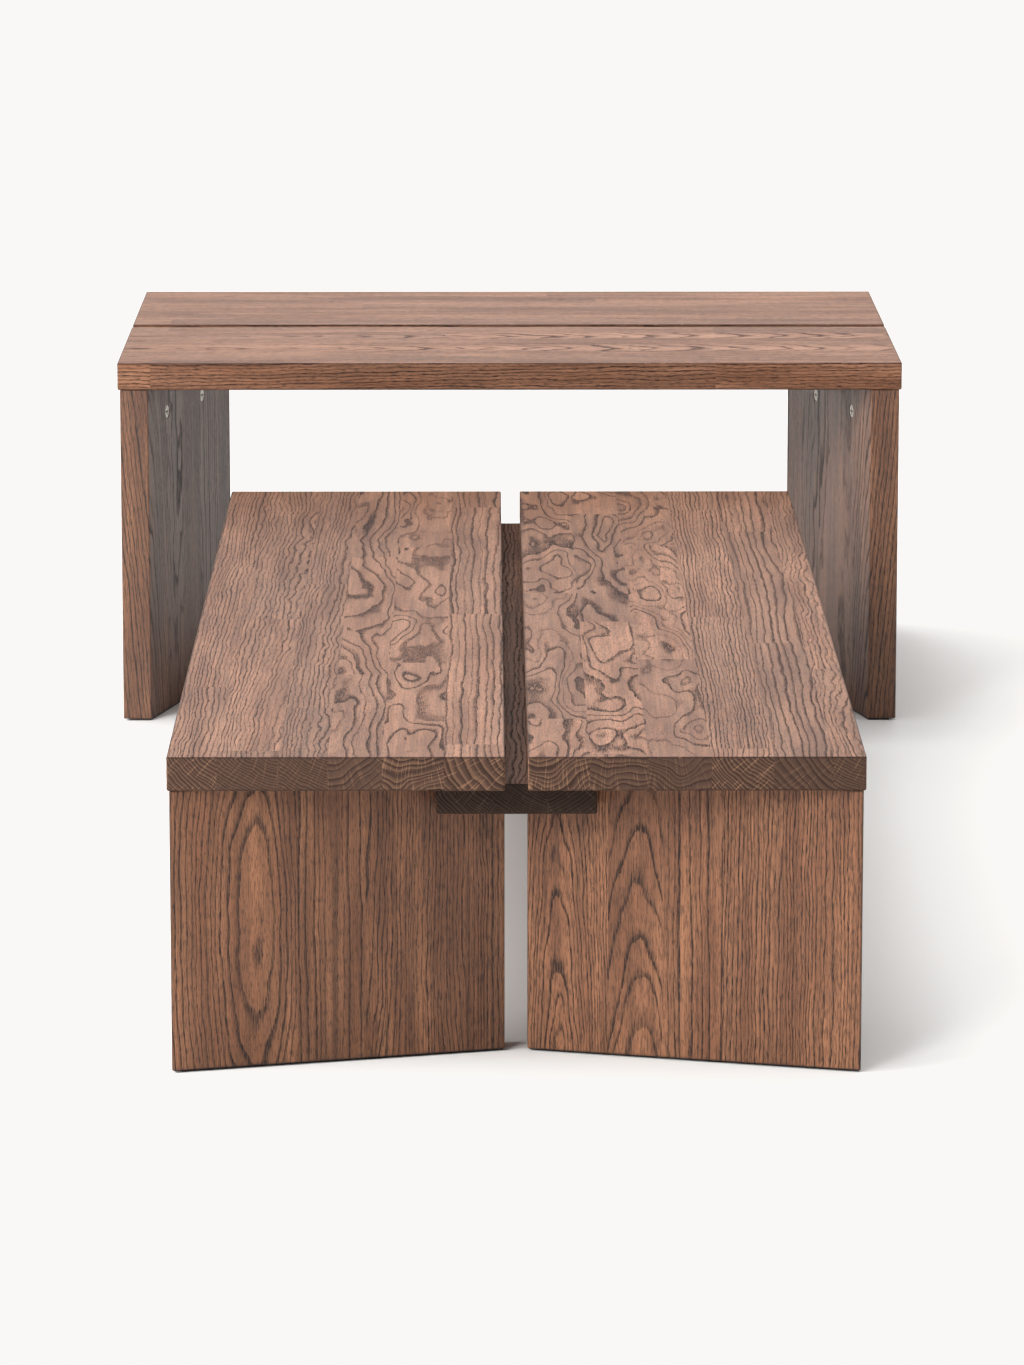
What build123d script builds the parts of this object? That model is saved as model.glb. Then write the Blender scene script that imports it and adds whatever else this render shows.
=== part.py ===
from build123d import *
import os
from dataclasses import dataclass
from math import cos, radians, sin, sqrt, tan

# Nesting tables: a long low oak table that slides on the floor beneath a short tall one.
# Both are one design: two solid boards with an open gap between them, joined by a rail that
# lies under the gap, on two leg panels at each end that stand in a shallow V and are notched
# over the rail. Cam locks and dowels hold the legs, screws hold the rail, felt meets the floor.
#
# The model stands on XY with +Z up. The tall table's long side runs along X and the low
# table's along Y; the low table is drawn out in front, towards -Y. Millimetres.

# ------------------------------------------------------------------ driving dimensions: tables
table_width = 600.0         # both tables, across their boards
low_length = 1400.0
low_height = 280.0
side_clearance = 20.0       # low table's side to the tall table's legs, when nested
headroom = 63.0             # low table's top to the tall table's rail, when nested
pull_out_gap = 135.0        # low table's back end to the tall table's front side, at rest

# ------------------------------------------------------------------ boards and rail
board_thickness = 30.0
board_gap = 20.0            # open slot between a table's two boards
board_edge_radius = 2.0     # upright corners and bottom edges
board_arris_radius = 1.0    # top edges

rail_width = 140.0
rail_thickness = 27.0
rail_end_inset = 30.0       # rail's end, in from the boards' ends
rail_edge_radius = 2.5

# ------------------------------------------------------------------ leg panels
leg_thickness = 30.0
leg_angle = radians(15)     # of each panel to the table's end, in plan
leg_gap = 20.0              # between the two panels of one end
leg_overhang = 2.0          # boards past the legs, at the sides and ends
leg_arris_radius = 1.5
notch_clearance = 0.5       # round the rail, at its sides and below

# ------------------------------------------------------------------ felt pads
pad_thickness = 2.0
pad_outer_inset = 7.0       # from the leg's outer face
pad_inner_inset = 1.0       # from the leg's inner face
pad_end_inset = 1.5         # from the leg's upright edges

# ------------------------------------------------------------------ cam locks and their bolts
cam_diameter = 15.0
cam_setback = 34.0          # cam's axis below the top of the leg
cam_recess = 0.5            # cam's face behind the leg's inner face
cam_chamfer = 0.4
cam_outer_spot = 70.0       # outer cam, along the inner face from the leg's outer edge
cam_notch_gap = 37.5        # inner cam, along the inner face from the rail's notch
cam_pocket_radius = 4.5     # hollow that holds the bolt's head
cam_pocket_length = 7.2
cam_wall = 2.0              # between the pocket and the cam's back
cam_slot_width = 4.6        # lets the bolt's neck through the cam's rim
cam_turn = 110.0            # degrees from the bolt's entry to the locked place
cam_entry_diameter = 7.0
cam_cross_length = 9.0      # driver's cross in the cam's face
cam_cross_width = 1.6
cam_cross_depth = 3.0
fit_clearance = 0.05        # radial, round a fixed pin or fitting in its hole
hole_end_gap = 1.0          # past a pin's tip, in its blind hole in a board

bolt_thread_diameter = 6.0
bolt_thread_length = 11.0
bolt_collar_diameter = 7.5
bolt_collar_thickness = 0.8
bolt_shank_diameter = 6.0
bolt_neck_diameter = 4.0
bolt_head_diameter = 6.4
bolt_head_tail = 0.5        # head's end past the cam's axis
bolt_hole_diameter = 8.0    # down through the leg's top edge
bolt_chamfer = 0.8

# ------------------------------------------------------------------ dowels
dowel_diameter = 8.0
dowel_in_board = 15.0
dowel_in_leg = 20.0
dowel_chamfer = 1.0

# ------------------------------------------------------------------ rail screws
screw_row_spacing = 80.0    # between the two rows, one in each board
screw_pitch = 190.0         # wanted along the rail; evened out over its length
screw_leg_margin = 35.0     # from the legs to the first screw
screw_diameter = 4.5
screw_length = 40.0
screw_tip_length = 6.0
screw_head_diameter = 9.0
screw_head_height = 3.0
screw_hole_diameter = 5.5   # room for the wood to move
screw_counterbore_diameter = 11.0
screw_counterbore_depth = 9.0
screw_drive_width = 1.4
screw_drive_length = 5.0
screw_drive_depth = 1.6

# ------------------------------------------------------------------ what follows from them
half_span = table_width / 2 - leg_overhang            # table's centreline to a leg's outer edge
leg_face_depth = leg_thickness / cos(leg_angle)       # leg's thickness along the table
leg_run = half_span - leg_gap / 2                     # leg's extent across the table
leg_reach = leg_overhang + leg_run * tan(leg_angle) + leg_face_depth
board_width = (table_width - board_gap) / 2

tall_length = table_width + 2 * side_clearance + 2 * leg_reach
tall_height = low_height + headroom + rail_thickness + board_thickness

overall_depth = low_length + pull_out_gap + table_width
low_centre = (low_length - overall_depth) / 2
tall_centre = (overall_depth - table_width) / 2

# Cams and dowels, along a leg's inner face from its outer edge: the dowels stand between.
notch_spot = (half_span - rail_width / 2 - notch_clearance) / cos(leg_angle)
cam_spots = (cam_outer_spot, notch_spot - cam_notch_gap)
dowel_spots = (cam_outer_spot / 2, sum(cam_spots) / 2)

cam_length = leg_thickness / 2 + cam_pocket_length / 2 + cam_wall - cam_recess
# The bolt's head bears on the pocket's wall where its shoulder is as wide as itself.
bolt_head_shoulder = sqrt(cam_pocket_radius**2 - (bolt_head_diameter / 2) ** 2) - fit_clearance


@dataclass
class Table:
    """A table's size and the plane it stands on: its long side runs along the plane's x."""

    name: str
    length: float
    height: float
    base: Plane
    boards: dict            # name of the board on each side (-1 or 1 along y)
    legs: dict              # name of the leg at each (end, side)

    @property
    def underside(self):
        return self.height - board_thickness

    @property
    def rail_length(self):
        return self.length - 2 * rail_end_inset

    @property
    def screw_columns(self):
        """Number of screws in one row of the rail, and the distance between them."""
        span = self.length - 2 * (leg_reach + screw_leg_margin)
        gaps = max(1, round(span / screw_pitch))
        return gaps + 1, span / gaps

    def level(self, height):
        return self.base.offset(height)


tall = Table(
    name="tall",
    length=tall_length,
    height=tall_height,
    base=Plane(origin=(0, tall_centre, 0)),
    boards={-1: "front", 1: "back"},
    legs={
        (-1, -1): "front_left",
        (1, -1): "front_right",
        (-1, 1): "back_left",
        (1, 1): "back_right",
    },
)
low = Table(
    name="low",
    length=low_length,
    height=low_height,
    base=Plane(origin=(0, low_centre, 0), x_dir=(0, 1, 0)),
    boards={1: "left", -1: "right"},
    legs={
        (-1, 1): "front_left",
        (-1, -1): "front_right",
        (1, 1): "back_left",
        (1, -1): "back_right",
    },
)


# ------------------------------------------------------------------ places in a leg, in plan
def leg_corner(table, end, side, across, depth):
    """Point at a distance across from the centreline and a depth in from the outer face."""
    set_back = (half_span - across) * tan(leg_angle) + depth / cos(leg_angle)
    along = table.length / 2 - leg_overhang - set_back
    return Vector(end * along, side * across)


def leg_strip(table, end, side, outer_inset=0.0, inner_inset=0.0, end_inset=0.0):
    """Corners of a leg's section, or of a strip inset from its faces and edges."""
    far = half_span - end_inset
    near = leg_gap / 2 + end_inset
    inner = leg_thickness - inner_inset
    return [
        leg_corner(table, end, side, far, outer_inset),
        leg_corner(table, end, side, far, inner),
        leg_corner(table, end, side, near, inner),
        leg_corner(table, end, side, near, outer_inset),
    ]


def inner_normal(end, side):
    """Direction that a leg's inner face looks in, in its table's plane."""
    return Vector(-end * cos(leg_angle), side * sin(leg_angle))


def leg_spot(table, end, side, along, depth=0.0):
    """Point on a leg's inner face, along from its outer edge, or that deep behind the face."""
    edge = leg_corner(table, end, side, half_span, leg_thickness)
    inward = Vector(-end * sin(leg_angle), -side * cos(leg_angle))
    return edge + inward * along - inner_normal(end, side) * depth


def mid_spots(table, spots, side=None):
    """Points at mid-thickness of the legs, at those distances along: all legs or one side's."""
    return [
        leg_spot(table, end, leg_side, along, leg_thickness / 2)
        for end, leg_side in table.legs
        if side in (None, leg_side)
        for along in spots
    ]


def cam_planes(table, end, side):
    """A plane on the inner face at each cam: z looks out of the face and y points up."""
    normal = inner_normal(end, side)
    across = Vector(0, 0, 1).cross(normal)
    height = table.underside - cam_setback
    planes = []
    for along in cam_spots:
        spot = leg_spot(table, end, side, along) + Vector(0, 0, height)
        face = Plane(origin=spot, x_dir=across, z_dir=normal)
        planes.append(Plane(table.base.location * face.location))
    return planes


def save(piece, name):
    piece.part.label = name
    export_step(piece.part, f"parts/{name}.step")


# ------------------------------------------------------------------ wooden pieces
def make_board(table, side):
    """A top board, holed from below for the cam bolts, the dowels and the rail's screws."""
    columns, pitch = table.screw_columns
    with BuildPart() as board:
        with BuildSketch(table.level(table.underside)):
            with Locations((0, side * (board_gap + board_width) / 2)):
                Rectangle(table.length, board_width)
        extrude(amount=board_thickness)
        uprights = board.edges().filter_by(Axis.Z)
        bottom = board.edges().group_by(Axis.Z)[0]
        fillet(uprights + bottom, radius=board_edge_radius)
        fillet(board.edges().group_by(Axis.Z)[-1], radius=board_arris_radius)

        with BuildSketch(table.level(table.underside)):
            with Locations(*mid_spots(table, cam_spots, side)):
                Circle(bolt_thread_diameter / 2 + fit_clearance)
        extrude(amount=bolt_thread_length + hole_end_gap, mode=Mode.SUBTRACT)
        with BuildSketch(table.level(table.underside)):
            with Locations(*mid_spots(table, dowel_spots, side)):
                Circle(dowel_diameter / 2 + fit_clearance)
        extrude(amount=dowel_in_board + hole_end_gap, mode=Mode.SUBTRACT)
        with BuildSketch(table.level(table.underside)):
            with Locations((0, side * screw_row_spacing / 2)):
                with GridLocations(pitch, 0, columns, 1):
                    Circle(screw_diameter / 2 + fit_clearance)
        grip = screw_length - (rail_thickness - screw_counterbore_depth)
        extrude(amount=grip + hole_end_gap, mode=Mode.SUBTRACT)
    save(board, f"{table.name}_{table.boards[side]}_board")


def make_rail(table):
    """The flat board under the gap, with a counterbored hole for each screw."""
    columns, pitch = table.screw_columns
    bottom = table.underside - rail_thickness
    below = Plane(origin=table.level(bottom).origin, x_dir=table.base.x_dir, z_dir=(0, 0, -1))
    with BuildPart() as rail:
        with BuildSketch(table.level(bottom)):
            Rectangle(table.rail_length, rail_width)
        extrude(amount=rail_thickness)
        uprights = rail.edges().filter_by(Axis.Z)
        lower = rail.edges().group_by(Axis.Z)[0]
        fillet(uprights + lower, radius=rail_edge_radius)
        with Locations(below):
            with GridLocations(pitch, screw_row_spacing, columns, 2):
                CounterBoreHole(
                    radius=screw_hole_diameter / 2,
                    counter_bore_radius=screw_counterbore_diameter / 2,
                    counter_bore_depth=screw_counterbore_depth,
                )
    save(rail, f"{table.name}_rail")


def make_leg(table, end, side):
    """A leg panel, cut to the table's sides at both upright edges and notched over the rail."""
    with BuildPart() as leg:
        with BuildSketch(table.level(pad_thickness)):
            with BuildLine():
                Polyline(*leg_strip(table, end, side), close=True)
            make_face()
        extrude(amount=table.underside - pad_thickness)
        uprights = leg.edges().filter_by(Axis.Z)
        bottom = leg.edges().group_by(Axis.Z)[0]
        top = leg.edges().group_by(Axis.Z)[-1]
        fillet(uprights + bottom + top, radius=leg_arris_radius)

        notch_width = rail_width + 2 * notch_clearance
        notch_depth = rail_thickness + notch_clearance
        with BuildSketch(table.level(table.underside)):
            Rectangle(table.length, notch_width)
        extrude(amount=-notch_depth, mode=Mode.SUBTRACT)

        for plane in cam_planes(table, end, side):
            with BuildSketch(plane):
                Circle(cam_diameter / 2 + fit_clearance)
            extrude(amount=-(cam_recess + cam_length), mode=Mode.SUBTRACT)
        with BuildSketch(table.level(table.underside)):
            with Locations(*[leg_spot(table, end, side, s, leg_thickness / 2) for s in cam_spots]):
                Circle(bolt_hole_diameter / 2)
        extrude(amount=-cam_setback, mode=Mode.SUBTRACT)
        with BuildSketch(table.level(table.underside)):
            with Locations(*[leg_spot(table, end, side, s, leg_thickness / 2) for s in dowel_spots]):
                Circle(dowel_diameter / 2 + fit_clearance)
        extrude(amount=-dowel_in_leg, mode=Mode.SUBTRACT)
    save(leg, f"{table.name}_{table.legs[end, side]}_leg")


def make_pads(table):
    """A felt strip under each leg, held back from the leg's outer face."""
    with BuildPart() as pads:
        for end, side in table.legs:
            corners = leg_strip(table, end, side, pad_outer_inset, pad_inner_inset, pad_end_inset)
            with BuildSketch(table.base):
                with BuildLine():
                    Polyline(*corners, close=True)
                make_face()
            extrude(amount=pad_thickness)
    save(pads, f"{table.name}_felt_pads")


# ------------------------------------------------------------------ fittings, each made once
def make_cam():
    """A cam lock with its face at z = 0 looking along +z; its bolt comes in from +y."""
    pocket = Plane.XY.offset(cam_recess - leg_thickness / 2)
    rim = cam_diameter / 2
    with BuildPart() as cam:
        with BuildSketch():
            Circle(rim)
        extrude(amount=-cam_length)
        chamfer(cam.edges(), length=cam_chamfer)
        # driver's cross
        with BuildSketch():
            Rectangle(cam_cross_length, cam_cross_width)
            Rectangle(cam_cross_width, cam_cross_length)
        extrude(amount=-cam_cross_depth, mode=Mode.SUBTRACT)
        # hollow for the bolt's head
        with BuildSketch(pocket):
            Circle(cam_pocket_radius)
        extrude(amount=cam_pocket_length / 2, both=True, mode=Mode.SUBTRACT)
        # slot for the neck: out through the rim where it locks, and round to its entry
        with BuildSketch(pocket):
            with Locations((0, rim / 2)):
                Rectangle(cam_slot_width, rim)
            with BuildLine():
                CenterArc((0, 0), rim, 90, cam_turn)
                Line((0, 0), (0, rim))
                Line((0, 0), Vector(rim, 0).rotate(Axis.Z, 90 + cam_turn))
            make_face()
        extrude(amount=cam_slot_width / 2, both=True, mode=Mode.SUBTRACT)
        entry = Vector(1, 0).rotate(Axis.Z, 90 + cam_turn)
        with BuildSketch(Plane(origin=pocket.origin, z_dir=entry)):
            Circle(cam_entry_diameter / 2)
        extrude(amount=rim, mode=Mode.SUBTRACT)
    return cam


def make_bolt():
    """A cam bolt, threaded upwards from z = 0, where its collar meets the board."""
    thread = bolt_thread_diameter / 2
    shank = bolt_shank_diameter / 2
    neck = bolt_neck_diameter / 2
    head = bolt_head_diameter / 2
    shoulder = bolt_head_shoulder - cam_setback
    shank_end = cam_diameter / 2 - cam_setback
    tail = -cam_setback - bolt_head_tail
    with BuildPart() as bolt:
        with BuildSketch(Plane.XZ):
            with BuildLine():
                Polyline(
                    (0, bolt_thread_length),
                    (thread - bolt_chamfer, bolt_thread_length),
                    (thread, bolt_thread_length - bolt_chamfer),
                    (thread, 0),
                    (bolt_collar_diameter / 2, 0),
                    (bolt_collar_diameter / 2, -bolt_collar_thickness),
                    (shank, -bolt_collar_thickness),
                    (shank, shank_end),
                    (neck, shank_end),
                    (neck, shoulder),
                    (head, shoulder),
                    (head, tail + bolt_chamfer),
                    (head - bolt_chamfer, tail),
                    (0, tail),
                    close=True,
                )
            make_face()
        revolve(axis=Axis.Z)
    return bolt


def make_dowel():
    """A beech dowel that stands on the end of its hole in the leg; z = 0 is the leg's top."""
    with BuildPart() as dowel:
        with BuildSketch(Plane.XY.offset(-dowel_in_leg)):
            Circle(dowel_diameter / 2)
        extrude(amount=dowel_in_leg + dowel_in_board)
        chamfer(dowel.edges().filter_by(GeomType.CIRCLE), length=dowel_chamfer)
    return dowel


def make_screw():
    """A pan-head wood screw pointing up, with its head's seat at z = 0."""
    thread = screw_diameter / 2
    head = screw_head_diameter / 2
    with BuildPart() as screw:
        with BuildSketch(Plane.XZ):
            with BuildLine():
                Polyline(
                    (0, screw_length),
                    (thread, screw_length - screw_tip_length),
                    (thread, 0),
                    (head, 0),
                    (head, -screw_head_height),
                    (0, -screw_head_height),
                    close=True,
                )
            make_face()
        revolve(axis=Axis.Z)
        fillet(screw.edges().group_by(Axis.Z)[0], radius=screw_head_height / 2)
        with BuildSketch(Plane.XY.offset(-screw_head_height)):
            Rectangle(screw_drive_length, screw_drive_width)
            Rectangle(screw_drive_width, screw_drive_length)
        extrude(amount=screw_drive_depth, mode=Mode.SUBTRACT)
    return screw


# ------------------------------------------------------------------ fittings, placed
def place_cams(table, cam):
    with BuildPart() as cams:
        for end, side in table.legs:
            seats = [plane.offset(-cam_recess) for plane in cam_planes(table, end, side)]
            with Locations(*seats):
                add(cam.part)
    save(cams, f"{table.name}_cam_locks")


def place_in_legs(table, fitting, spots, name):
    with BuildPart() as group:
        with Locations(table.level(table.underside)):
            with Locations(*mid_spots(table, spots)):
                add(fitting.part)
    save(group, f"{table.name}_{name}")


def place_screws(table, screw):
    columns, pitch = table.screw_columns
    seat = table.underside - rail_thickness + screw_counterbore_depth
    with BuildPart() as screws:
        with Locations(table.level(seat)):
            with GridLocations(pitch, screw_row_spacing, columns, 2):
                add(screw.part)
    save(screws, f"{table.name}_rail_screws")


# ------------------------------------------------------------------ the two tables
os.makedirs("parts", exist_ok=True)
cam = make_cam()
bolt = make_bolt()
dowel = make_dowel()
screw = make_screw()

for table in (tall, low):
    for side in table.boards:
        make_board(table, side)
    make_rail(table)
    for end, side in table.legs:
        make_leg(table, end, side)
    make_pads(table)
    place_cams(table, cam)
    place_in_legs(table, bolt, cam_spots, "cam_bolts")
    place_in_legs(table, dowel, dowel_spots, "dowels")
    place_screws(table, screw)
    print(table.name, "length", round(table.length, 1), "height", round(table.height, 1))
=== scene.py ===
"""Nesting tables in dark oiled oak: a long low table and a short tall one that it slides beneath.

The shapes are the CAD frame's own. This file gives every piece its material, and makes the
studio, the lights and the camera. Metres, Z up, the low table's length along Y.
"""
import math
import random
from typing import NamedTuple

import bpy
from mathutils import Euler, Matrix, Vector


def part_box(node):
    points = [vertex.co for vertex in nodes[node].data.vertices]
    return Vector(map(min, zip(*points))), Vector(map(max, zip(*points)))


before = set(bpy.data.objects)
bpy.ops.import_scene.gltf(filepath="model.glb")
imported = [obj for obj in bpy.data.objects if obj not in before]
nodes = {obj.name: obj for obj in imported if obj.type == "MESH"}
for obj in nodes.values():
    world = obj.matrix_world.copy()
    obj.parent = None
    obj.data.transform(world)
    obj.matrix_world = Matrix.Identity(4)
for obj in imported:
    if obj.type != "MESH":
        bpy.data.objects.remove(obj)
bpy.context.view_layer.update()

MM = 0.001
LEG_ANGLE = math.radians(15.0)      # splay of the leg panels in plan
SEED = 11


# ---------------------------------------------------------------- shader nodes

class Shader:
    """The node tree of one material, with short calls that take numbers, tuples or sockets."""

    def __init__(self, name):
        self.material = bpy.data.materials.new(name)
        self.material.use_nodes = True
        self.tree = self.material.node_tree
        self.tree.nodes.clear()
        output = self.tree.nodes.new("ShaderNodeOutputMaterial")
        self.surface = self.tree.nodes.new("ShaderNodeBsdfPrincipled")
        self.tree.links.new(self.surface.outputs["BSDF"], output.inputs["Surface"])

    def node(self, kind, **settings):
        made = self.tree.nodes.new("ShaderNode" + kind)
        for key, value in settings.items():
            setattr(made, key, value)
        return made

    def feed(self, socket, value):
        if isinstance(value, bpy.types.NodeSocket):
            self.tree.links.new(value, socket)
        else:
            socket.default_value = value

    def set(self, **inputs):
        """Sets or links the surface's own inputs; an underscore in a name stands for a space."""
        for key, value in inputs.items():
            self.feed(self.surface.inputs[key.replace("_", " ")], value)

    def math(self, operation, *values):
        made = self.node("Math", operation=operation)
        for socket, value in zip(made.inputs, values):
            self.feed(socket, value)
        return made.outputs[0]

    def total(self, *values):
        result = values[0]
        for value in values[1:]:
            result = self.math("ADD", result, value)
        return result

    def product(self, *values):
        result = values[0]
        for value in values[1:]:
            result = self.math("MULTIPLY", result, value)
        return result

    def swing(self, noise, amount=1.0):
        """Noise about 0 in place of 0.5, times an amount."""
        centred = self.math("SUBTRACT", noise, 0.5)
        return centred if amount == 1.0 else self.product(centred, amount)

    def at_most_one(self, value):
        return self.math("MINIMUM", value, 1.0)

    def vector(self, operation, *values):
        made = self.node("VectorMath", operation=operation)
        for socket, value in zip(made.inputs, values):
            self.feed(socket, value)
        return made.outputs["Value" if operation == "DOT_PRODUCT" else "Vector"]

    def scale(self, vector, factor):
        made = self.node("VectorMath", operation="SCALE")
        self.feed(made.inputs["Vector"], vector)
        self.feed(made.inputs["Scale"], factor)
        return made.outputs["Vector"]

    def split(self, vector):
        made = self.node("SeparateXYZ")
        self.feed(made.inputs[0], vector)
        return made.outputs[0], made.outputs[1], made.outputs[2]

    def join(self, x, y, z):
        made = self.node("CombineXYZ")
        for socket, value in zip(made.inputs, (x, y, z)):
            self.feed(socket, value)
        return made.outputs[0]

    def span(self, value, start, end, low=0.0, high=1.0, kind="SMOOTHSTEP"):
        """low up to start, high from end on, and a smooth or LINEAR change between them."""
        made = self.node("MapRange", interpolation_type=kind)
        for socket, given in zip(made.inputs, (value, start, end, low, high)):
            self.feed(socket, given)
        return made.outputs[0]

    def mix(self, factor, first, second):
        made = self.node("Mix", data_type="RGBA", blend_type="MIX")
        self.feed(made.inputs["Factor"], factor)
        self.feed(made.inputs["A"], first)
        self.feed(made.inputs["B"], second)
        return made.outputs["Result"]

    def noise(self, place, size, detail=2.0, roughness=0.5):
        """Noise from 0 to 1 whose blobs are about size = (across, deep, along) in place's units."""
        scaled = self.vector("DIVIDE", place, size)
        made = self.node("TexNoise", noise_dimensions="3D")
        self.feed(made.inputs["Vector"], scaled)
        self.feed(made.inputs["Scale"], 1.0)
        self.feed(made.inputs["Detail"], detail)
        self.feed(made.inputs["Roughness"], roughness)
        return made.outputs["Fac"]

    def chance(self, *keys):
        """Three fixed random numbers from 0 to 1 for these keys."""
        made = self.node("TexWhiteNoise", noise_dimensions="3D")
        self.feed(made.inputs["Vector"], self.join(*(keys + (0.0, 0.0))[:3]))
        return self.split(made.outputs["Color"])

    def bump(self, height, depth):
        made = self.node("Bump")
        self.feed(made.inputs["Strength"], 1.0)
        self.feed(made.inputs["Distance"], depth)
        self.feed(made.inputs["Height"], height)
        return made.outputs["Normal"]


# ------------------------------------------------------------------------- oak

class Figure(NamedTuple):
    """How a stave was cut from its log. Lengths in mm, from the middle of the stave's face."""
    side: float         # pith, sideways
    depth: float        # pith, below the face
    tilt: float         # how fast the pith runs away from the face, along the grain
    bow: float          # how the pith curves away from the face, per mm
    swirl: float        # 0 for calm grain to 1 for burr
    ring: float         # width of a year's ring


FIGURES = {
    "straight": Figure(side=95, depth=60, tilt=0.01, bow=0.0, swirl=0.10, ring=3.0),
    "slash": Figure(side=-75, depth=50, tilt=-0.02, bow=0.0, swirl=0.14, ring=3.3),
    "fine": Figure(side=60, depth=80, tilt=0.01, bow=0.0, swirl=0.18, ring=2.5),
    "wavy": Figure(side=-34, depth=60, tilt=0.01, bow=0.0, swirl=0.75, ring=6.0),
    "coarse": Figure(side=62, depth=30, tilt=0.01, bow=0.0, swirl=0.36, ring=6.0),
    "burr": Figure(side=2, depth=120, tilt=0.0, bow=0.0, swirl=1.1, ring=6.0),
    "knotty": Figure(side=-12, depth=80, tilt=0.01, bow=0.0, swirl=0.95, ring=4.4),
    "arch": Figure(side=4, depth=38, tilt=0.10, bow=0.0, swirl=0.12, ring=4.6),
    "spire": Figure(side=-6, depth=18, tilt=0.07, bow=0.0, swirl=0.08, ring=2.9),
    "eye": Figure(side=19, depth=25, tilt=0.0, bow=0.0006, swirl=0.05, ring=4.1),
}
PITH_LOWEST = -250.0    # the ramps hold each figure as numbers from 0 to 1 of these ranges
PITH_RANGE = 1000.0
DEPTH_RANGE = 250.0
TILT_RANGE = 0.4
BOW_RANGE = 0.004
RING_RANGE = 10.0

# The oak's noises, by the size of their blobs in mm: across the grain, into it and along it.
WANDER = (75.0, 75.0, 380.0)        # of the pith
BURR = (58.0, 85.0, 250.0)
RIPPLE = (15.0, 15.0, 46.0)
FRINGE = (1.3, 1.3, 13.0)           # the ragged edges of a ring
PORES = (0.8, 0.8, 11.0)            # in the spring wood
SPECKS = (0.9, 0.9, 8.0)            # pores anywhere else
FIBRES = (1.5, 1.5, 55.0)
STREAKS = (6.0, 6.0, 190.0)
CLOUDS = (26.0, 26.0, 210.0)
LEAN_YEARS = (11.0, 1.0, 1.0)       # by distance from the pith alone
RAYS = (1.5, 1.0, 1.0)              # round the pith alone, on end grain
SHADE_EDGE_NOISE = (9.0, 9.0, 9.0)             # of the painted shade along the arrises
WORN_SPOTS = (7.0, 7.0, 7.0)        # where the arrises are worn lighter through their painted shade

# How far they move a ring, in mm.
WANDER_REACH = 22.0
BURR_REACH = 62.0
RIPPLE_REACH = 4.5
FRINGE_REACH = 1.1
# How far they move it in years, so that rings are unevenly spaced.
WANDER_YEARS = 1.5
LEAN_YEARS_REACH = 2.4
# How far they move the edge of the painted shade along an arris, in mm.
SHADE_EDGE_REACH = 1.6

BLOCK_SHIFT = (900.0, 700.0, 1900.0)    # greatest distance in the log from one block to the next
RUN_SHIFT = 7.3                         # staggers the blocks' joints from stave to stave
LEAN_SHIFT = 60.0                       # gives each stave lean years of its own
RAY_RADIUS = 40.0                       # mm beyond the pith's depth, where rays have RAYS' width
RAY_DRIFT = 0.03                        # how soon rays change along their length
GRAIN_RELIEF = 0.0005                   # depth of the open pores, m


class Stave(NamedTuple):
    """One glued strip of a panel."""
    width: float                # mm
    figure: str
    tone: float                 # brightness


class Finish(NamedTuple):
    """The stain's colours on one kind of part, linear; the pore colour also paints the shade along
    the arrises.
    """
    light: tuple
    warm: tuple
    pore: tuple
    end: tuple
    ray: tuple
    block: float = 5000.0       # length of the finger-jointed blocks, mm
    gloss: float = 0.46         # roughness
    shine: float = 0.5          # specular level
    spread: float = 0.0         # how differently the blocks of a stave were cut, mm


TOP = Finish(light=(0.270, 0.130, 0.075, 1.0), warm=(0.184, 0.079, 0.041, 1.0),
             pore=(0.022, 0.010, 0.008, 1.0), end=(0.064, 0.033, 0.022, 1.0),
             ray=(0.205, 0.108, 0.062, 1.0), block=620.0, gloss=0.56, shine=0.22, spread=24.0)
LEG = Finish(light=(0.228, 0.098, 0.047, 1.0), warm=(0.145, 0.057, 0.026, 1.0),
             pore=(0.016, 0.008, 0.006, 1.0), end=(0.040, 0.020, 0.013, 1.0),
             ray=(0.105, 0.058, 0.037, 1.0), gloss=0.48, shine=0.4)
RAIL = Finish(light=(0.150, 0.064, 0.034, 1.0), warm=(0.104, 0.043, 0.022, 1.0),
              pore=(0.016, 0.009, 0.007, 1.0), end=(0.032, 0.019, 0.014, 1.0),
              ray=(0.064, 0.042, 0.030, 1.0), block=900.0, gloss=0.6, shine=0.12, spread=24.0)
TALL_LEG = LEG._replace(gloss=0.42, shine=0.62)     # seen at a low angle, where the oil shines


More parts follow.
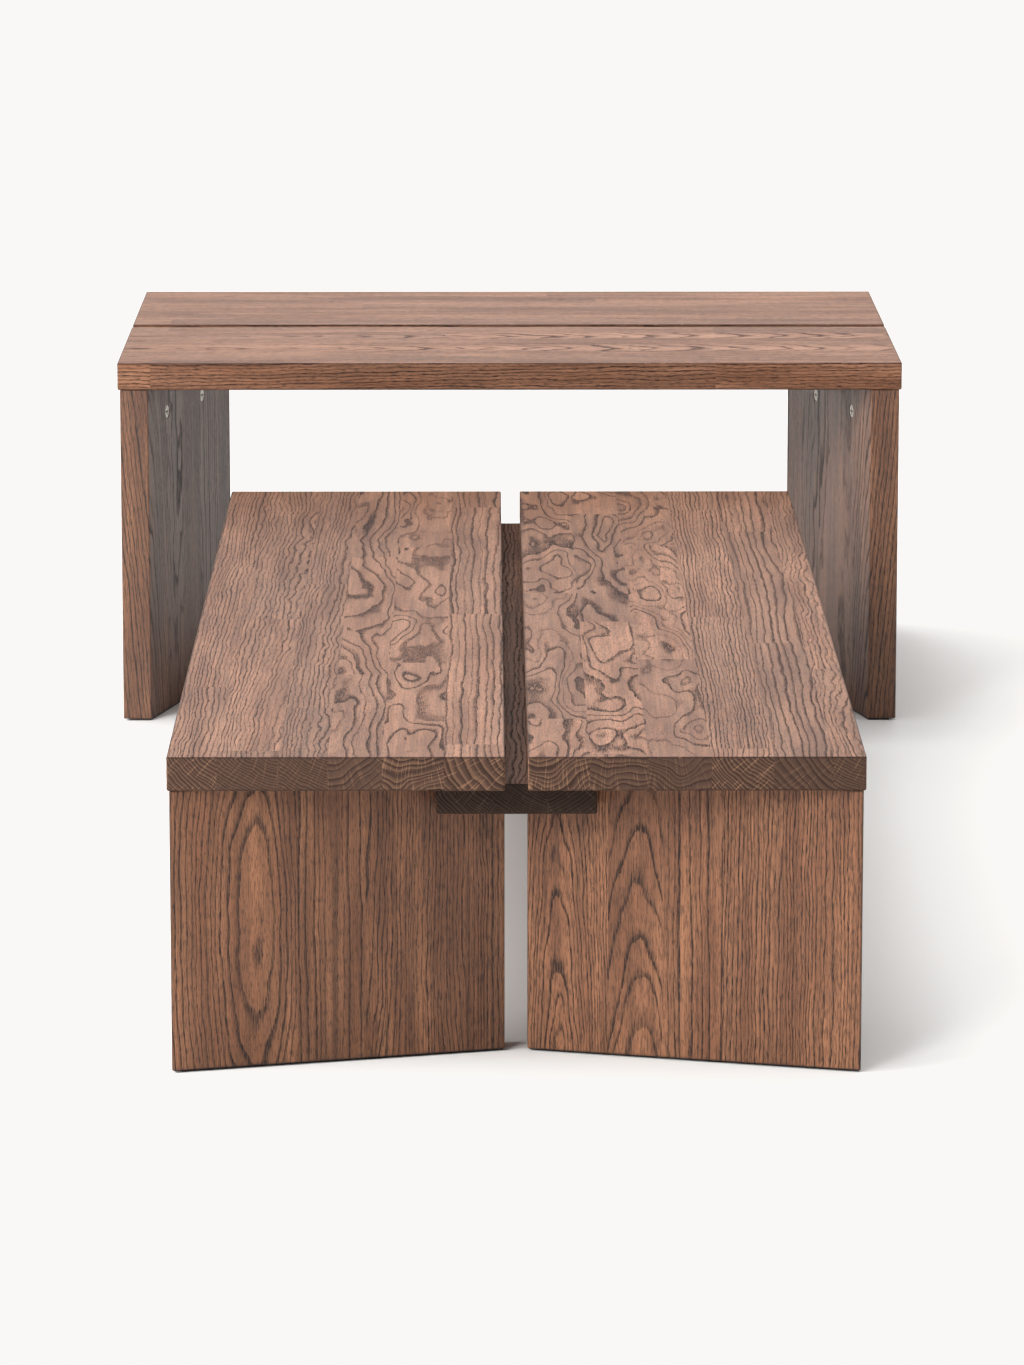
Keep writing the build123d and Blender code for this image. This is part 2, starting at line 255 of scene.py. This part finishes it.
def stave_ramps(shader, across, width, staves, dice):
    """The numbers of the stave at a place across the panel, out of two stepped ramps."""
    ramps = []
    for _ in range(2):
        ramp = shader.node("ValToRGB")
        ramp.color_ramp.interpolation = "CONSTANT"
        ramp.color_ramp.elements.remove(ramp.color_ramp.elements[-1])
        shader.feed(ramp.inputs[0], shader.math("DIVIDE", across, width))
        ramps.append(ramp)
    shape, feel = ramps
    scale = width / sum(stave.width for stave in staves)
    start = 0.0
    for number, stave in enumerate(staves):
        figure = FIGURES[stave.figure]
        step = start / width
        middle = start + stave.width * scale / 2
        if number:
            for ramp in ramps:
                ramp.color_ramp.elements.new(step)
        pith = (middle + figure.side - PITH_LOWEST) / PITH_RANGE
        shape.color_ramp.elements[number].color = (
            pith, figure.depth / DEPTH_RANGE,
            figure.tilt / TILT_RANGE + 0.5, figure.bow / BOW_RANGE + 0.5)
        feel.color_ramp.elements[number].color = (
            figure.swirl, figure.ring / RING_RANGE, stave.tone, dice.random())
        start += stave.width * scale
    pith, depth, tilt = shader.split(shape.outputs["Color"])
    swirl, ring, tone = shader.split(feel.outputs["Color"])
    return {
        "pith": shader.math("MULTIPLY_ADD", pith, PITH_RANGE, PITH_LOWEST),
        "depth": shader.math("MULTIPLY", depth, DEPTH_RANGE),
        "tilt": shader.math("MULTIPLY_ADD", tilt, TILT_RANGE, -TILT_RANGE / 2),
        "bow": shader.math("MULTIPLY_ADD", shape.outputs["Alpha"], BOW_RANGE, -BOW_RANGE / 2),
        "swirl": swirl,
        "ring": shader.math("MULTIPLY", ring, RING_RANGE),
        "tone": tone,
        "seed": feel.outputs["Alpha"],
    }


class Rings(NamedTuple):
    """Where a point lies in its log, as sockets."""
    aside: object       # from the pith, sideways, mm
    sunk: object        # from the pith, upward, mm
    radius: object      # from the pith, mm
    season: object      # from 0 in spring to 1 in autumn
    spring: object      # how much spring wood there is, from 0 to 1


def log_rings(shader, own, place, stave, lean, length, spread):
    """Rings round a pith that wanders and that burr swirls."""
    across, down, along = shader.split(place)
    away = shader.math("SUBTRACT", along, length / 2)
    wander = shader.swing(shader.noise(own, WANDER, 1.0))
    burr = shader.swing(shader.noise(own, BURR, 2.0, 0.42))
    ripple = shader.swing(shader.noise(own, RIPPLE, 1.0), RIPPLE_REACH)
    fringe = shader.swing(shader.noise(own, FRINGE, 2.0), FRINGE_REACH)
    sunk = shader.total(
        down, stave["depth"], shader.product(away, stave["tilt"]),
        shader.product(away, away, stave["bow"]), shader.product(lean, spread),
        shader.product(burr, stave["swirl"], BURR_REACH))
    aside = shader.total(
        shader.math("SUBTRACT", across, stave["pith"]), shader.product(wander, WANDER_REACH))
    radius = shader.math(
        "SQRT", shader.total(shader.product(aside, aside), shader.product(sunk, sunk)))
    radius = shader.total(radius, fringe, ripple)

    lean_shift = shader.product(stave["seed"], LEAN_SHIFT)
    lean_years = shader.noise(shader.join(radius, 0.0, lean_shift), LEAN_YEARS)
    years = shader.total(
        shader.math("DIVIDE", radius, stave["ring"]), shader.product(wander, WANDER_YEARS),
        shader.product(lean_years, LEAN_YEARS_REACH))
    season = shader.math("FRACT", years)
    strength, _, _ = shader.chance(shader.math("FLOOR", years), stave["seed"])
    spring = shader.product(
        shader.span(season, 0.0, 0.06), shader.span(season, 0.08, 0.44, 1.0, 0.0),
        shader.span(strength, 0.0, 0.6, 0.45, 1.0, "LINEAR"))
    return Rings(aside, sunk, radius, season, spring)


def end_grain(shader, rings, depth, hue, finish):
    """Colour of end grain: dark, with rays fanning out from the pith across the rings."""
    angle = shader.math("ARCTAN2", rings.sunk, rings.aside)
    fan = shader.product(angle, shader.math("ABSOLUTE", shader.total(depth, RAY_RADIUS)))
    fan_place = shader.join(fan, shader.product(rings.radius, RAY_DRIFT), 0.0)
    rays = shader.span(shader.noise(fan_place, RAYS, 1.0), 0.56, 0.66)
    autumn = shader.span(rings.season, 0.45, 0.9)
    pale = shader.product(
        shader.total(rays, shader.product(autumn, 0.5)), shader.span(hue, 0.2, 0.9, 0.3, 1.0))
    colour = shader.mix(shader.at_most_one(pale), finish.end, finish.ray)
    return shader.mix(shader.product(rings.spring, 0.6), colour, finish.pore)


def stain_arrises(shader, colour, place, size, finish):
    """Painted shade along the arrises: a ragged band beside them is painted darker in the pore
    colour, and a few spots on them are worn lighter.
    """
    gaps = [shader.math("MINIMUM", value, shader.math("SUBTRACT", length, value))
            for value, length in zip(shader.split(place), size)]
    edge = shader.math("MAXIMUM", gaps[1], shader.math("MINIMUM", gaps[0], gaps[2]))
    ragged = shader.total(edge, shader.product(shader.noise(place, SHADE_EDGE_NOISE, 3.0), SHADE_EDGE_REACH))
    # painted shade: a darker band within about 3 mm of an arris
    arris_shade = shader.span(ragged, 1.2, 3.0, 0.62, 0.0)
    colour = shader.mix(arris_shade, colour, finish.pore)
    spots = shader.span(shader.noise(place, WORN_SPOTS, 3.0), 0.62, 0.70)
    worn = shader.product(spots, shader.span(ragged, 1.4, 2.6, 0.6, 0.0))
    return shader.mix(worn, colour, finish.light)


def oak(name, corner, turn, size, staves, finish):
    """Solid oak glued from staves, cut through by whatever faces the piece has.

    corner and turn place the panel's own axes, in the row frame: across its staves, down into
    its face, and along its grain. size is its length in mm along each.
    """
    dice = random.Random(name + str(SEED))
    shader = Shader(name)
    coordinates = shader.node("TexCoord")
    frame_map = shader.node("Mapping", vector_type="TEXTURE")
    shader.feed(frame_map.inputs["Vector"], coordinates.outputs["Object"])
    shader.feed(frame_map.inputs["Location"], corner)
    shader.feed(frame_map.inputs["Rotation"], turn)
    shader.feed(frame_map.inputs["Scale"], (MM, MM, MM))
    place = frame_map.outputs[0]
    across, _, along = shader.split(place)
    stave = stave_ramps(shader, across, size[0], staves, dice)

    # Each block of a stave is its own piece of timber, from its own place in the log.
    run = shader.total(
        shader.math("DIVIDE", along, finish.block), shader.product(stave["seed"], RUN_SHIFT))
    lean, hue, shift = shader.chance(stave["seed"], shader.math("FLOOR", run))
    own = shader.vector("ADD", place, shader.join(
        *(shader.product(share, reach) for share, reach in zip((lean, hue, shift), BLOCK_SHIFT))))
    rings = log_rings(shader, own, place, stave, lean, size[2], finish.spread)

    # Spring wood is a band of open pores that takes the stain darkest.
    dashes = shader.span(shader.noise(own, PORES, 2.0, 0.6), 0.43, 0.56)
    pores = shader.product(rings.spring, shader.span(dashes, 0.0, 1.0, 0.5, 1.0, "LINEAR"))
    specks = shader.span(shader.noise(own, SPECKS, 2.0), 0.52, 0.60, 0.0, 0.46)
    fibre = shader.noise(own, FIBRES, 3.0, 0.65)
    streak = shader.noise(own, STREAKS, 2.0)
    cloud = shader.noise(own, CLOUDS, 2.0)
    body = shader.mix(shader.span(cloud, 0.3, 0.7), finish.light, finish.warm)
    tone = shader.product(
        stave["tone"], shader.span(hue, 0.0, 1.0, 0.84, 1.12, "LINEAR"),
        shader.span(fibre, 0.25, 0.75, 0.68, 1.30, "LINEAR"),
        shader.span(streak, 0.3, 0.7, 0.84, 1.14))
    face = shader.mix(
        shader.at_most_one(shader.total(pores, specks)), shader.scale(body, tone), finish.pore)

    # Faces that cut across the grain show its ends.
    grain_axis = Euler(turn).to_matrix() @ Vector((0.0, 0.0, 1.0))
    facing = shader.math("ABSOLUTE", shader.vector(
        "DOT_PRODUCT", coordinates.outputs["Normal"], tuple(grain_axis)))
    cut = shader.span(facing, 0.55, 0.8)
    colour = shader.mix(cut, face, end_grain(shader, rings, stave["depth"], hue, finish))

    # The base colour carries painted shade along the arrises.
    shader.set(
        Base_Color=stain_arrises(shader, colour, place, size, finish),
        Roughness=shader.total(finish.gloss, shader.product(pores, 0.22),
                               shader.product(cut, 0.12), shader.product(fibre, 0.06)),
        Normal=shader.bump(
            shader.total(shader.product(pores, -1.0), shader.product(specks, -0.7),
                         shader.product(fibre, 0.35)), GRAIN_RELIEF),
        IOR=1.48, Specular_IOR_Level=finish.shine)
    return shader.material


def dress(node, material):
    """Puts one material on a whole CAD node."""
    mesh = nodes[node].data
    mesh.materials.clear()
    mesh.materials.append(material)
    for face in mesh.polygons:
        face.material_index = 0


def board_axes(node, along):
    """Corner, turn and size of a board or rail, its face upward and its grain along X or Y."""
    low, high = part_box(node)
    size = (high - low) / MM
    if along == "Y":
        return (low.x, low.y, high.z), (-math.pi / 2, 0.0, 0.0), (size.x, size.z, size.y)
    return (low.x, high.y, high.z), (-math.pi / 2, 0.0, -math.pi / 2), (size.y, size.z, size.x)


def leg_axes(node, heading):
    """Corner, turn and size of an upright leg panel whose staves run across along heading, in plan.

    The corner is where the outer face begins, the face's left end as its front is looked at.
    """
    low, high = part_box(node)
    direction = Vector((math.cos(heading), math.sin(heading)))
    inward = Vector((-math.sin(heading), math.cos(heading)))
    points = [Vector((vertex.co.x, vertex.co.y)) for vertex in nodes[node].data.vertices]
    start = min(point.dot(direction) for point in points)
    stop = max(point.dot(direction) for point in points)
    outer = min(point.dot(inward) for point in points)
    inner = max(point.dot(inward) for point in points)
    corner = direction * start + inward * outer
    size = ((stop - start) / MM, (inner - outer) / MM, (high.z - low.z) / MM)
    return (corner.x, corner.y, low.z), (0.0, 0.0, heading), size


def staves_of(*entries):
    return [Stave(*entry) for entry in entries]


RAIL_STAVES = staves_of((46, "straight", 1.0), (50, "fine", 1.0), (44, "slash", 0.95))
# The staves of each board in order, from the low table's left edges and the tall table's back.
BOARDS = {
    "low_left_board": ("Y", staves_of(
        (43, "straight", 0.92), (53, "fine", 0.90), (42, "fine", 0.86),
        (47, "wavy", 0.90), (53, "burr", 0.92), (53, "coarse", 0.94))),
    "low_right_board": ("Y", staves_of(
        (53, "knotty", 0.93), (50, "burr", 0.96), (54, "knotty", 1.0),
        (53, "straight", 0.97), (51, "coarse", 0.95), (29, "fine", 1.0))),
    "tall_back_board": ("X", staves_of(
        (48, "straight", 1.14), (50, "fine", 1.11), (45, "slash", 1.15),
        (50, "straight", 1.17), (47, "fine", 1.10), (50, "slash", 1.14))),
    "tall_front_board": ("X", staves_of(
        (50, "slash", 1.18), (44, "arch", 1.22), (52, "straight", 1.13),
        (48, "arch", 1.19), (46, "fine", 1.15), (50, "straight", 1.02))),
}
LEGS = {
    "low_front_left_leg": (LEG_ANGLE, staves_of(
        (112, "eye", 1.0), (62, "coarse", 0.98), (90, "slash", 0.9), (44, "straight", 0.86))),
    "low_front_right_leg": (-LEG_ANGLE, staves_of(
        (80, "spire", 1.14), (49, "arch", 1.24), (55, "coarse", 1.20), (52, "straight", 1.17),
        (72, "straight", 1.22))),
}
# The legs that the photo hides or shows at a low angle get staves drawn at random.
OTHER_LEGS = {
    "low_back_left_leg": math.pi + LEG_ANGLE,
    "low_back_right_leg": math.pi - LEG_ANGLE,
    "tall_front_left_leg": -math.pi / 2 + LEG_ANGLE,
    "tall_back_left_leg": -math.pi / 2 - LEG_ANGLE,
    "tall_front_right_leg": math.pi / 2 - LEG_ANGLE,
    "tall_back_right_leg": math.pi / 2 + LEG_ANGLE,
}
OTHER_FIGURES = ("straight", "fine", "slash", "arch", "coarse")
OTHER_STAVES = 5
OTHER_WIDTHS = (50, 72)
OTHER_TONES = (0.86, 0.97)


def dress_wood():
    for node, (along, staves) in BOARDS.items():
        dress(node, oak(node, *board_axes(node, along), staves, TOP))
    for node, along in (("low_rail", "Y"), ("tall_rail", "X")):
        dress(node, oak(node, *board_axes(node, along), RAIL_STAVES, RAIL))
    for node, (heading, staves) in LEGS.items():
        dress(node, oak(node, *leg_axes(node, heading), staves, LEG))
    dice = random.Random(SEED)
    for node, heading in OTHER_LEGS.items():
        figures = [dice.choice(OTHER_FIGURES) for _ in range(OTHER_STAVES)]
        staves = [Stave(dice.uniform(*OTHER_WIDTHS), figure, dice.uniform(*OTHER_TONES))
                  for figure in figures]
        finish = TALL_LEG if node.startswith("tall") else LEG
        dress(node, oak(node, *leg_axes(node, heading), staves, finish))


# ---------------------------------------------------------------- small parts

# Depth of their relief, m.
TURNING_RELIEF = 0.00002
NAP_RELIEF = 0.0003
FLECK_RELIEF = 0.0001


def metal(name, colour, roughness, scale):
    """Plated or plain steel with faint turning marks and handling blur."""
    shader = Shader(name)
    place = shader.scale(shader.node("TexCoord").outputs["Object"], 1 / MM)
    blur = shader.noise(place, (scale, scale, scale), 3.0)
    marks = shader.noise(place, (scale * 3, scale * 3, scale / 4), 2.0)
    shade = shader.span(blur, 0.3, 0.7, 0.86, 1.0)
    shader.set(
        Base_Color=shader.scale(colour, shade), Metallic=1.0,
        Roughness=shader.span(marks, 0.3, 0.7, roughness, roughness + 0.12),
        Normal=shader.bump(marks, TURNING_RELIEF))
    return shader.material


def felt(name, colour):
    """Pressed felt: matted fibres with a soft nap."""
    shader = Shader(name)
    place = shader.scale(shader.node("TexCoord").outputs["Object"], 1 / MM)
    fibres = shader.noise(place, (0.7, 0.7, 0.7), 4.0, 0.7)
    shade = shader.span(fibres, 0.3, 0.7, 0.6, 1.3)
    shader.set(
        Base_Color=shader.scale(colour, shade), Roughness=0.95,
        Sheen_Weight=0.3, Normal=shader.bump(fibres, NAP_RELIEF))
    return shader.material


def beech(name):
    """Pale turned beech with short flecks."""
    shader = Shader(name)
    place = shader.scale(shader.node("TexCoord").outputs["Object"], 1 / MM)
    fibres = shader.noise(place, (0.8, 0.8, 9.0), 3.0)
    colour = shader.mix(
        shader.span(fibres, 0.35, 0.7), (0.50, 0.33, 0.19, 1.0), (0.36, 0.21, 0.11, 1.0))
    shader.set(Base_Color=colour, Roughness=0.6, Normal=shader.bump(fibres, FLECK_RELIEF))
    return shader.material


def dress_fittings():
    zinc = metal("zinc", (0.44, 0.40, 0.34), 0.32, 2.5)
    steel = metal("steel", (0.50, 0.50, 0.50), 0.34, 2.0)
    pads = felt("felt", (0.030, 0.024, 0.021))
    dowels = beech("beech")
    for table in ("low", "tall"):
        dress(table + "_cam_locks", zinc)
        dress(table + "_cam_bolts", steel)
        dress(table + "_rail_screws", steel)
        dress(table + "_felt_pads", pads)
        dress(table + "_dowels", dowels)


# ---------------------------------------------------- studio, lights and camera

FLOOR_SPAN = 60.0
FLOOR_COLOUR = (0.83, 0.825, 0.81)
SKY_COLOUR = (1.0, 0.995, 0.985, 1.0)
SKY_STRENGTH = 0.14
SHOULDER = 0.82                         # tones up to here are left as they are
PAPER_WHITE = (0.947, 0.938, 0.921)     # what full white becomes in the picture


class Lamp(NamedTuple):
    """A large soft light far away. Angles in degrees; heading 0 is the front and -90 the left."""
    heading: float
    height: float
    strength: float
    softness: float


LAMPS = {
    "key": Lamp(heading=-35, height=34, strength=1.45, softness=20),
    "side": Lamp(heading=-70, height=16, strength=0.8, softness=26),
    "window": Lamp(heading=-135, height=50, strength=1.7, softness=45),
    "left": Lamp(heading=-90, height=50, strength=0.35, softness=45),
    "right": Lamp(heading=85, height=16, strength=0.5, softness=30),
    "back": Lamp(heading=180, height=50, strength=0.7, softness=45),
    "rim": Lamp(heading=180, height=16, strength=0.5, softness=30),
    "top": Lamp(heading=0, height=88, strength=1.5, softness=50),
}
NEAR = Lamp(heading=-50, height=25, strength=45.0, softness=1.5)    # a disc: watts, metres wide
NEAR_DISTANCE = 2.1
NEAR_AIM = Vector((-0.2, -0.3, 0.2))


def make_floor():
    bpy.ops.mesh.primitive_grid_add(x_subdivisions=8, y_subdivisions=8, size=FLOOR_SPAN)
    floor = bpy.context.object
    floor.name = "studio_floor"
    shader = Shader("studio_floor")
    place = shader.node("TexCoord").outputs["Object"]
    mottle = shader.noise(place, (0.9, 0.9, 0.9), 3.0)
    shade = shader.span(mottle, 0.3, 0.7, 0.99, 1.0)
    shader.set(
        Base_Color=shader.scale(FLOOR_COLOUR, shade), Roughness=0.7, Specular_IOR_Level=0.15)
    floor.data.materials.append(shader.material)


def hang(light, lamp, distance=0.0):
    """Puts a light in the scene, shining from its lamp's heading and height."""
    heading, height = math.radians(lamp.heading), math.radians(lamp.height)
    towards = Vector((math.sin(heading) * math.cos(height),
                      -math.cos(heading) * math.cos(height), math.sin(height)))
    holder = bpy.data.objects.new(light.name, light)
    holder.location = NEAR_AIM + towards * distance
    holder.rotation_euler = towards.to_track_quat("Z", "Y").to_euler()
    bpy.context.scene.collection.objects.link(holder)
    return holder


def make_lights():
    world = bpy.data.worlds.new("studio")
    world.use_nodes = True
    background = world.node_tree.nodes["Background"]
    background.inputs["Color"].default_value = SKY_COLOUR
    background.inputs["Strength"].default_value = SKY_STRENGTH
    bpy.context.scene.world = world
    for name, lamp in LAMPS.items():
        light = bpy.data.lights.new(name, "SUN")
        light.energy = lamp.strength
        light.angle = math.radians(lamp.softness)
        hang(light, lamp)
    light = bpy.data.lights.new("near", "AREA")
    light.shape = "DISK"
    light.size = NEAR.softness
    light.energy = NEAR.strength
    hang(light, NEAR, NEAR_DISTANCE).visible_camera = False


def set_tones():
    """Plain tones up to the floor's white, which is held a little under full white."""
    view = bpy.context.scene.view_settings
    view.view_transform = "Standard"
    view.use_curve_mapping = True
    mapping = view.curve_mapping
    mapping.extend = "HORIZONTAL"
    for curve, white in zip(mapping.curves, PAPER_WHITE):
        shoulder = curve.points.new(SHOULDER, SHOULDER)
        shoulder.handle_type = "VECTOR"
        for point in curve.points:
            if point.location[0] == 1.0:
                point.location = (1.0, white)
                point.handle_type = "VECTOR"
    mapping.update()


IMAGE_HEIGHT = 1365
CAMERA_PLACE = Vector((-0.02545, -6.24726, 1.36325))
CAMERA_PITCH = math.radians(11.122)     # downward
CAMERA_YAW = math.radians(0.2388)       # to the right
FOCAL_PIXELS = 6181.9
SENSOR = 36.0


def make_camera():
    data = bpy.data.cameras.new("camera")
    data.sensor_width = SENSOR
    data.lens = FOCAL_PIXELS / IMAGE_HEIGHT * SENSOR
    camera = bpy.data.objects.new("camera", data)
    camera.location = CAMERA_PLACE
    camera.rotation_euler = (math.pi / 2 - CAMERA_PITCH, 0.0, -CAMERA_YAW)
    bpy.context.scene.collection.objects.link(camera)
    bpy.context.scene.camera = camera


dress_wood()
dress_fittings()
make_floor()
make_lights()
make_camera()
set_tones()
